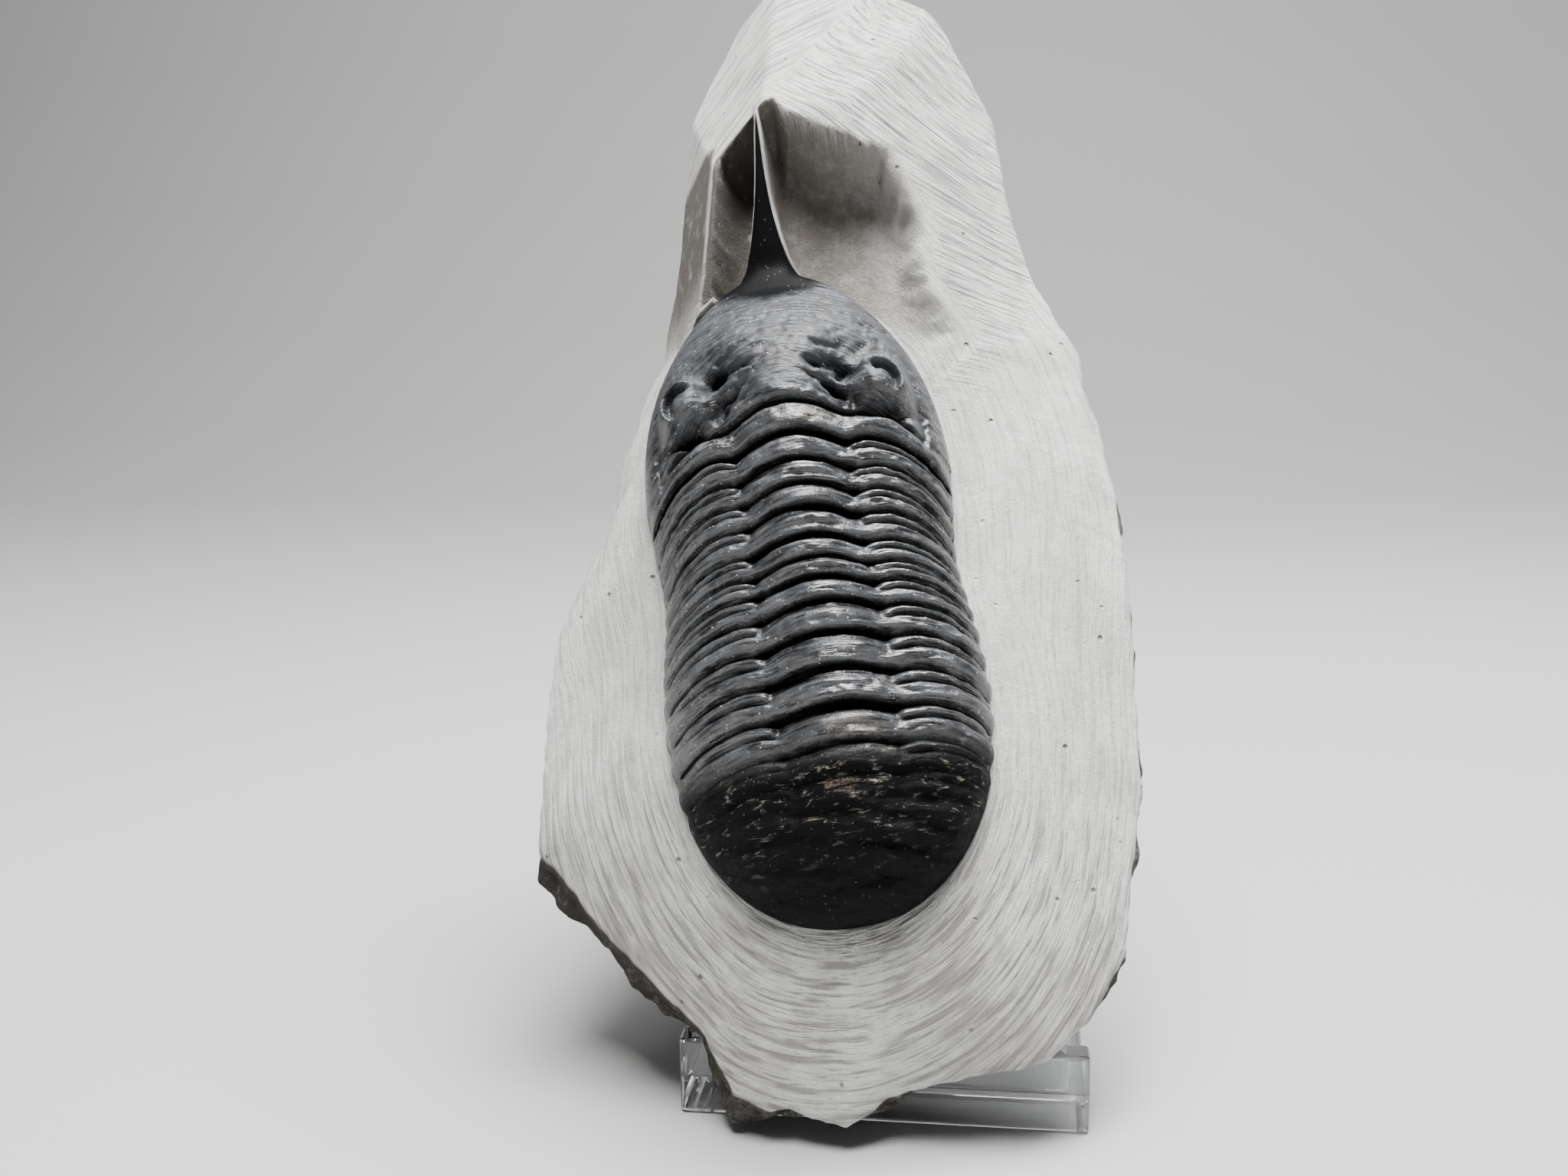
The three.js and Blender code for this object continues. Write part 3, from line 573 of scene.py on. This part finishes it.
# Shader maths: one socket, with the operators that are used
class Wire:
    def __init__(self, tree, socket):
        self.tree, self.socket = tree, socket

    # any node: its type, its settings, the values or links of its sockets, and which output is wanted
    def node(self, kind, settings=None, inputs=None, output=0):
        made = self.tree.nodes.new(kind)
        for name, value in (settings or {}).items():
            setattr(made, name, value)
        for name, value in (inputs or {}).items():
            if isinstance(value, Wire):
                self.tree.links.new(value.socket, made.inputs[name])
            else:
                made.inputs[name].default_value = value
        return Wire(self.tree, made.outputs[output])

    def math(self, operation, *values):
        return self.node("ShaderNodeMath", {"operation": operation}, dict(enumerate(values)))

    def __add__(self, other):
        return self.math("ADD", self, other)

    def __radd__(self, other):
        return self.math("ADD", other, self)

    def __sub__(self, other):
        return self.math("SUBTRACT", self, other)

    def __rsub__(self, other):
        return self.math("SUBTRACT", other, self)

    def __mul__(self, other):
        return self.math("MULTIPLY", self, other)

    def __rmul__(self, other):
        return self.math("MULTIPLY", other, self)

    def __pow__(self, other):
        return self.math("POWER", self, other)

    # 0 below low, 1 above high, smooth between them
    def ramp(self, low, high):
        inputs = {"Value": self, "From Min": low, "From Max": high}
        return self.node("ShaderNodeMapRange", {"interpolation_type": "SMOOTHSTEP"}, inputs)

    # this colour turned into another one by a mask
    def into(self, colour, mask):
        return self.node("ShaderNodeMix", {"data_type": "RGBA"}, {0: mask, 6: self, 7: colour}, 2)

    # this value turned into another one by a mask
    def blend(self, other, mask):
        return self.node("ShaderNodeMix", {"data_type": "FLOAT"}, {0: mask, 2: self, 3: other}, 0)

    def part(self, axis):
        return self.node("ShaderNodeSeparateXYZ", {}, {0: self}, axis)

    def joined(self, x, y):
        return self.node("ShaderNodeCombineXYZ", {}, {0: x, 1: y})

    def stretched(self, scale):
        return self.node("ShaderNodeVectorMath", {"operation": "MULTIPLY"}, {0: self, 1: scale})

    def noise(self, scale, detail=4, roughness=0.55, distortion=0):
        inputs = {"Vector": self, "Scale": scale, "Detail": detail, "Roughness": roughness,
                  "Distortion": distortion}
        return self.node("ShaderNodeTexNoise", {}, inputs)

    def spots(self, scale):
        return self.node("ShaderNodeTexVoronoi", {}, {"Vector": self, "Scale": scale})


def plainColour(start, value):
    wire = start.node("ShaderNodeRGB")
    wire.socket.default_value = value
    return wire


# A material with its shader, the Object coordinates in millimetres, and a way to read the mesh's notes.
def newMaterial(name, plain):
    material = bpy.data.materials.new(name)
    material.use_nodes = True
    tree = material.node_tree
    shader = tree.nodes["Principled BSDF"]
    for socket, value in plain.items():
        shader.inputs[socket].default_value = value
    start = Wire(tree, None)
    where = start.node("ShaderNodeTexCoord", {}, {}, "Object").stretched((1000, 1000, 1000))

    def note(which, output="Fac"):
        return start.node("ShaderNodeAttribute", {"attribute_name": which}, {}, output)

    def feed(**wires):
        for socket, wire in wires.items():
            tree.links.new(wire.socket, shader.inputs[socket.replace("_", " ")])

    return material, start, where, note, feed


def bump(start, height, distance):
    return start.node("ShaderNodeBump", {}, {"Height": height, "Distance": distance * mm, "Strength": 1})


shellFinish = {
    "black": (0.004, 0.0042, 0.0046, 1),
    "grey": (0.075, 0.079, 0.086, 1),
    "sheen": (0.06, 0.064, 0.071, 1),
    "dustAndGlint": (0.2, 0.17, 0.135, 1),
    "worn": (0.22, 0.185, 0.14, 1),
    "speck": (0.5, 0.49, 0.45, 1),
    "gloss": 0.85,
    "roughness": 0.2,
    "dullGloss": 0.05,
    "dullRoughness": 0.5,
    "fineRelief": 0.14,
    "wornSpots": (((2.6, -15.4), (2.4, 1.0)), ((3.3, 11.3), (2.6, 0.9)), ((1.2, -19.6), (1.6, 0.8))),
}


def shellMaterial():
    material, start, where, note, feed = newMaterial(
        "black_fossil_shell", {"Specular IOR Level": shellFinish["gloss"]})
    spot, rib, relief = note("spot", "Vector"), note("rib", "Vector"), note("relief")
    u, v = spot.part(0), spot.part(1)
    cloud = where.noise(0.35, 4, 0.6)
    grain = where.noise(1.5, 6, 0.7)
    fine = where.noise(6, 4, 0.75)
    streaks = rib.stretched((0.3, 2.6, 1)).noise(1, 3, 0.6, 0.3)
    threads = rib.stretched((0.5, 6, 1)).noise(1, 3, 0.6, 0.2)
    inFurrow = relief.ramp(-0.6, -1.3)
    onCrest = relief.ramp(-1.2, -0.4)
    onNose = (v - u.math("ABSOLUTE", u) * 0.45 + (cloud - 0.5) * 3).ramp(24.6, 27)
    onHead = v.ramp(12.5, 15) * (1 - onNose)
    tail = v.ramp(-14.5, -18.5)
    body = (1 - onNose) * (1 - tail)

    colour = plainColour(start, shellFinish["black"])
    # painted sheen: the crest tops are greyed in streaks where the overhead light would shine on them
    lit = (0.4 + 0.6 * cloud.ramp(0.35, 0.65)) * streaks.ramp(0.34, 0.54)
    colour = colour.into(shellFinish["grey"], onCrest * body * lit)
    mottled = 0.1 + 0.9 * (grain * 0.6 + cloud * 0.4).ramp(0.4, 0.58)
    colour = colour.into(shellFinish["sheen"], onHead * mottled * 0.7)
    # painted shade: the deepest furrows and pits are painted black over the crest grey and head sheen
    colour = colour.into(shellFinish["black"], relief.ramp(-0.9, -1.7))
    colour = colour.into(shellFinish["dustAndGlint"], threads.ramp(0.55, 0.7) * onCrest * body * 0.35)
    for at, size in shellFinish["wornSpots"]:
        du, dv = (u - at[0]) * (1 / size[0]), (v - at[1]) * (1 / size[1])
        patch = (du * du + dv * dv + grain * 3 - 1.5).ramp(1.1, 0.5)
        patch = patch * fine.ramp(0.36, 0.6) * streaks.ramp(0.38, 0.55)
        colour = colour.into(shellFinish["worn"], patch * 0.65)
    tailStreaks = spot.stretched((0.45, 1.5, 0.5)).noise(1.3, 5, 0.72, 0.5)
    # painted glints: brownish streaks over the upper tail stand in for small highlights
    glints = tail * tailStreaks.ramp(0.56, 0.7) * v.ramp(-27, -20)
    colour = colour.into(shellFinish["dustAndGlint"], glints * 0.8)
    specks = where.spots(1.7).ramp(0.17, 0.09) * where.noise(0.8, 3).ramp(0.44, 0.58)
    colour = colour.into(shellFinish["speck"], specks * (0.15 + 0.65 * onCrest * body))

    # fine lines round the front of the head
    lines = start.node("ShaderNodeTexWave", {"wave_type": "RINGS", "rings_direction": "Z"}, {
        "Vector": spot.stretched((0.8, 1, 0)), "Scale": 0.5,
        "Distortion": 3, "Detail": 3, "Detail Scale": 1.5})
    rough = cloud.ramp(0.45, 0.65) * 0.7 + inFurrow * 0.5 + 0.3
    height = grain * rough * (1 - 0.8 * onNose) + (streaks * 1.2 + threads * 0.3) * body
    height = height + lines * v.ramp(19, 23) * (1 - onNose) * 0.6 + tailStreaks * tail * 2
    normal = bump(start, height, shellFinish["fineRelief"])
    roughness = shellFinish["roughness"] + grain.ramp(0.35, 0.7) * 0.14 + onHead * 0.16
    feed(Base_Color=colour, Roughness=roughness, Normal=normal)

    # the tail, the nose and the furrows are dull, and the head half so
    dull = start.node("ShaderNodeBsdfPrincipled", {}, {
        "Base Color": colour, "Roughness": shellFinish["dullRoughness"],
        "Specular IOR Level": shellFinish["dullGloss"], "Normal": normal})
    dullness = inFurrow.blend(1, tail * (1 - glints * 0.8) + onNose + onHead * (0.75 - cloud * 0.4))
    tree = material.node_tree
    glossy = Wire(tree, tree.nodes["Principled BSDF"].outputs["BSDF"])
    both = start.node("ShaderNodeMixShader", {}, {0: dullness, 1: glossy, 2: dull})
    tree.links.new(both.socket, tree.nodes["Material Output"].inputs["Surface"])
    return material


stoneFinish = {
    "pale": (0.7, 0.69, 0.66, 1),
    "light": (0.86, 0.85, 0.82, 1),
    "grey": (0.2, 0.2, 0.205, 1),
    "brown": (0.3, 0.25, 0.21, 1),
    "hollow": (0.4, 0.365, 0.325, 1),
    "shade": (0.15, 0.138, 0.122, 1),
    "rock": (0.21, 0.19, 0.165, 1),
    "broken": (0.06, 0.052, 0.044, 1),
    "pit": (0.07, 0.06, 0.05, 1),
    "gloss": 0.3,
    "roughness": 0.8,
    "fineRelief": 0.8,
    "leftStrokes": 42,  # degrees up from level
    "rightStrokes": (16, 70),  # these run in arcs round this point
}


def stoneMaterial():
    material, start, where, note, feed = newMaterial(
        "pale_limestone", {"Specular IOR Level": stoneFinish["gloss"]})
    around, flat, top = note("around", "Vector"), note("flat", "Vector"), note("top")
    hollow, broken = note("hollow"), note("broken")
    x, y = flat.part(0), flat.part(1)
    cloud = where.noise(0.12, 4, 0.6)
    blotch = where.noise(0.5, 5, 0.7)
    grain = where.noise(2.2, 6, 0.75)
    sand = where.noise(6, 4, 0.8)

    # tool marks run round the fossil, up the left of the top and in arcs down its right
    way = math.radians(stoneFinish["leftStrokes"])
    leftWay = start.joined(x * math.cos(way) + y * math.sin(way), y * math.cos(way) - x * math.sin(way))
    dx, dy = x - stoneFinish["rightStrokes"][0], y - stoneFinish["rightStrokes"][1]
    rightWay = start.joined(dy.math("ARCTAN2", dy, dx) * 36, (dx * dx + dy * dy) ** 0.5)
    isLeft = (x + 6 - (y - 46) * 0.4).ramp(0.5, -0.5)

    def tooled(along, across, detail):
        def strokes(vector):
            return vector.stretched((along, across, 1)).noise(1, detail, 0.6, 0.4)

        return strokes(around).blend(strokes(rightWay).blend(strokes(leftWay), isLeft), top)

    marks = tooled(0.12, 1.9, 2)
    scratches = tooled(0.3, 4.5, 3)
    onStrokes = (1 - hollow * 0.8) * (1 - broken)
    strength = onStrokes * (0.45 + 0.55 * (y.ramp(-8, -26) + top))

    colour = plainColour(start, stoneFinish["pale"])
    colour = colour.into(stoneFinish["light"], (blotch * 0.4 + cloud * 0.6).ramp(0.42, 0.6))
    colour = colour.into(stoneFinish["grey"], marks.ramp(0.54, 0.34) * strength * 0.65)
    colour = colour.into(stoneFinish["grey"], scratches.ramp(0.46, 0.34) * strength * 0.6)
    # browner towards the bottom of the face: partly a warm tint of the stone, partly painted shade below the
    # tail
    lowBrownAndShade = y.ramp(-14, -30) * (cloud * 0.5 + marks * 0.5).ramp(0.55, 0.4)
    colour = colour.into(stoneFinish["brown"], lowBrownAndShade * 0.35)
    colour = colour.into(stoneFinish["grey"], sand.ramp(0.52, 0.68) * (1 - hollow * 0.5) * 0.4)
    mottled = 0.95 + (grain - 0.5) * 1.6 + (blotch - 0.5) * 2.2
    # the hollow's brown-grey: partly the stone's own colour, partly painted shade
    colour = colour.into(stoneFinish["hollow"], hollow * mottled)
    nearNose = x.ramp(-5.5, -8) + 0.25 * x.ramp(3, -2)
    colour = colour.into(stoneFinish["shade"], hollow * nearNose * blotch.ramp(0.2, 0.5) * 0.95)
    colour = colour.into(stoneFinish["rock"], broken * (0.75 + 0.25 * cloud.ramp(0.6, 0.4)))
    lowLeft = x.ramp(-4, -12) * y.ramp(-14, -24)
    dark = (grain * 0.45 + blotch * 0.55 - lowLeft * 0.08).ramp(0.6, 0.42)
    colour = colour.into(stoneFinish["broken"], broken * dark)
    pits = where.spots(0.5).ramp(0.14, 0.05) * where.noise(0.4, 2).ramp(0.52, 0.62)
    colour = colour.into(stoneFinish["pit"], pits * 0.7)

    height = (marks * 1.1 + scratches * 0.7) * strength + grain * (0.4 + broken * 2 + hollow * 0.8)
    height = height + sand * 0.25 - pits
    normal = bump(start, height, stoneFinish["fineRelief"])
    feed(Base_Color=colour, Roughness=stoneFinish["roughness"] + grain * 0.18, Normal=normal)
    return material


standFinish = {"tint": (0.97, 0.985, 0.99, 1), "ior": 1.49, "roughness": 0.015}


def standMaterial():
    material, _, where, _, feed = newMaterial("clear_acrylic", {
        "Base Color": standFinish["tint"], "Transmission Weight": 1.0, "IOR": standFinish["ior"]})
    scuffs = where.stretched((0.3, 1, 1)).noise(2.2, 4, 0.6).ramp(0.56, 0.74)
    feed(Roughness=standFinish["roughness"] + scuffs * 0.08)
    return material


# The stand is one bent sheet: a lip, a shelf, a back rest and a rear leg. Sizes are in mm.
standShape = {
    "width": 34.6,
    "sheet": 2.5,
    "lipHeight": 6.9,
    "restPlane": 29.8,
    "restTop": 8,
    "legFoot": 50,
    "cornerRound": 0.7,
    "polish": 0.4,
    "gap": 0.35,  # between the sheet and the stone
}


# A point of the back rest, y up along the stone's back and depth behind it
def restPoint(y, depth):
    lean = math.radians(setting["leanBack"])
    z = -standShape["restPlane"] - depth
    middleY, middleZ = setting["stoneMiddle"][1:]
    pointY = middleY + y * math.sin(lean) - z * math.cos(lean)
    return pointY, middleZ + y * math.cos(lean) + z * math.sin(lean)


# Both sides of a sheet that follows a line, with small arcs at its corners.
def sheetOutline(line):
    def across(way):
        return Vector((way.y, -way.x)) * standShape["sheet"] / 2

    outline = []
    for run in (line, line[::-1]):
        ways = [(b - a).normalized() for a, b in zip(run, run[1:])]
        for point, before, after in zip(run, [ways[0]] + ways, ways + [ways[-1]]):
            middle = (before + after).normalized()
            corner = point + across(middle) / middle.dot(before)
            if point.y == 0:
                corner -= before * corner.y / before.y  # the foot ends level
            reach = standShape["cornerRound"] * math.tan(before.angle(after) / 2)
            if reach < 0.01:
                outline.append(corner)
                continue
            start, end = corner - before * reach, corner + after * reach
            for k in range(7):
                outline.append(start.lerp(corner, k / 6).lerp(corner.lerp(end, k / 6), k / 6))
    return outline


def makeStand():
    half = standShape["sheet"] / 2
    y, z = restPoint(0, half)
    shelfBack = y - (z - half) * math.tan(math.radians(setting["leanBack"]))
    top = restPoint(standShape["restTop"] - 2, half)
    lipTop, foot = (half, standShape["lipHeight"]), (standShape["legFoot"], 0)
    outline = sheetOutline([Vector(point) for point in (lipTop, (half, half), (shelfBack, half), top, foot)])
    bm = bmesh.new()
    bmesh.ops.create_circle(bm, cap_ends=True, segments=len(outline), radius=1)
    for vert, (y, z) in zip(bm.faces[:][0].verts, outline):
        vert.co = (-standShape["width"] / 2, y, z)
    grown = bmesh.ops.extrude_face_region(bm, geom=bm.faces[:])["geom"]
    ends = [vert for vert in grown if isinstance(vert, bmesh.types.BMVert)]
    bmesh.ops.translate(bm, vec=(standShape["width"], 0, 0), verts=ends)
    bmesh.ops.recalc_face_normals(bm, faces=bm.faces)
    cutEdges = [edge for edge in bm.edges if edge.calc_face_angle(0) > 1]
    bmesh.ops.bevel(bm, geom=cutEdges, affect="EDGES", offset=standShape["polish"], segments=3,
                    profile=0.5, clamp_overlap=True, material=-1)
    bmesh.ops.transform(bm, matrix=Matrix.Translation(lipFront) @ Matrix.Scale(mm, 4), verts=bm.verts)
    mesh = bpy.data.meshes.new("clear_stand")
    bm.to_mesh(mesh)
    bm.free()
    piece = bpy.data.objects.new("clear_stand", mesh)
    bpy.context.scene.collection.objects.link(piece)
    return piece


# The stone is cut away where the stand goes.
def cutForStand(piece):
    gap = standShape["gap"] * mm
    lipTop, thick = standShape["lipHeight"] * mm + gap, standShape["sheet"] * mm
    wide, long, deep = 0.1, 0.06, 0.02  # metres, well past the stone
    cutters = []

    def block(x, y, z, size, turned=0):
        bm = bmesh.new()
        bmesh.ops.create_cube(bm, size=1)
        bmesh.ops.scale(bm, vec=size, verts=bm.verts)
        bmesh.ops.rotate(bm, cent=(0, 0, 0), matrix=Matrix.Rotation(turned, 3, "X"), verts=bm.verts)
        bmesh.ops.translate(bm, vec=(x, y, z), verts=bm.verts)
        mesh = bpy.data.meshes.new("cutter")
        bm.to_mesh(mesh)
        bm.free()
        cutter = bpy.data.objects.new("cutter", mesh)
        bpy.context.scene.collection.objects.link(cutter)
        cutters.append(cutter)

    # room for the lip, for the shelf and for the back rest
    y0 = lipFront.y
    block(0, y0 + thick / 2, lipTop / 2 - 0.005, (wide, thick + 2 * gap, lipTop + 0.01))
    block(0, y0 + long / 2, (thick + gap) / 2 - 0.005, (wide, long + 2 * gap, thick + gap + 0.01))
    restTop = standShape["restTop"] + 0.5 - long / 2 / mm
    restDepth = standShape["restPlane"] - standShape["gap"] + deep / 2 / mm
    middle = stonePlace @ Vector((0, restTop, -restDepth))
    block(*middle, (wide, long, deep), math.radians(90 - setting["leanBack"]))
    for cutter in cutters:
        cut = piece.modifiers.new("room", "BOOLEAN")
        cut.operation, cut.object, cut.solver = "DIFFERENCE", cutter, "EXACT"
    bpy.context.view_layer.update()
    shaped = bpy.data.meshes.new_from_object(piece.evaluated_get(bpy.context.evaluated_depsgraph_get()))
    piece.modifiers.clear()
    piece.data = shaped
    for cutter in cutters:
        bpy.data.objects.remove(cutter)
    return piece


print("trilobite")
trilobite = makeTrilobite()
trilobite.data.materials.append(shellMaterial())
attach(trilobite, "root")
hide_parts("trilobite")

print("matrix")
matrix = cutForStand(makeMatrix())
matrix.data.materials.clear()
matrix.data.materials.append(stoneMaterial())
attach(matrix, "root")
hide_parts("matrix")

print("stand")
stand = makeStand()
stand.data.materials.append(standMaterial())
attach(stand, "root")
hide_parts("stand")

print("room, light and camera")
room = {"halfWidth": 2.5, "front": -1.5, "wall": 0.75, "bend": 0.35, "height": 1.6,
        "floor": (0.42, 0.42, 0.415, 1), "world": (0.8, 0.81, 0.83, 1), "worldStrength": 0.18}


# A pale floor that curves up into a backdrop.
def makeFloor():
    bm = bmesh.new()
    bmesh.ops.create_grid(bm, x_segments=1, y_segments=40, size=1)
    for vert in bm.verts:
        run = (vert.co.y + 1) / 2 * (room["wall"] - room["front"] + room["height"])
        over = run - (room["wall"] - room["bend"] - room["front"])
        turned = min(max(over / room["bend"], 0), math.pi / 2)
        up = max(0, over - room["bend"] * math.pi / 2)
        vert.co.x *= room["halfWidth"]
        vert.co.y = room["front"] + min(run, run - over) + room["bend"] * math.sin(turned)
        vert.co.z = room["bend"] * (1 - math.cos(turned)) + up
    for face in bm.faces:
        face.smooth = True
    mesh = bpy.data.meshes.new("floor")
    bm.to_mesh(mesh)
    bm.free()
    floor = bpy.data.objects.new("floor", mesh)
    bpy.context.scene.collection.objects.link(floor)
    material = newMaterial("pale_floor", {"Base Color": room["floor"], "Roughness": 0.7})[0]
    floor.data.materials.append(material)


lights = {
    "key": {"place": (0.05, -0.04, 0.42), "size": (0.42, 0.16), "power": 8.5, "aim": (0, 0, 0.05)},
    "backdrop": {"place": (0, 0.2, 0.8), "size": (0.6, 0.6), "power": 6, "aim": (0, 0.75, 0.25)},
}


def makeLight(name, plan):
    light = bpy.data.lights.new(name, "AREA")
    light.shape = "RECTANGLE"
    light.energy, light.size, light.size_y = plan["power"], *plan["size"]
    lamp = bpy.data.objects.new(name, light)
    bpy.context.scene.collection.objects.link(lamp)
    lamp.location = plan["place"]
    lamp.rotation_euler = (Vector(plan["place"]) - Vector(plan["aim"])).to_track_quat("Z", "Y").to_euler()


camera = {"from": (9.2, -119.1, 67.25), "turn": 8.0, "pitch": 10.0, "roll": -0.97, "lens": 35}


def makeCamera():
    data = bpy.data.cameras.new("camera")
    data.lens, data.sensor_width = camera["lens"], 36
    data.clip_start = 0.005
    eyePoint = bpy.data.objects.new("camera", data)
    bpy.context.scene.collection.objects.link(eyePoint)
    eyePoint.matrix_world = (
        Matrix.Translation(lipFront + Vector(camera["from"]) * mm)
        @ Matrix.Rotation(math.radians(camera["turn"]), 4, "Z")
        @ Matrix.Rotation(math.radians(90 - camera["pitch"]), 4, "X")
        @ Matrix.Rotation(math.radians(camera["roll"]), 4, "Z")
    )
    bpy.context.scene.camera = eyePoint


makeFloor()
world = bpy.context.scene.world or bpy.data.worlds.new("world")
bpy.context.scene.world = world
world.use_nodes = True
background = world.node_tree.nodes["Background"].inputs
background["Color"].default_value = room["world"]
background["Strength"].default_value = room["worldStrength"]
for lightName, lightPlan in lights.items():
    makeLight(lightName, lightPlan)
makeCamera()
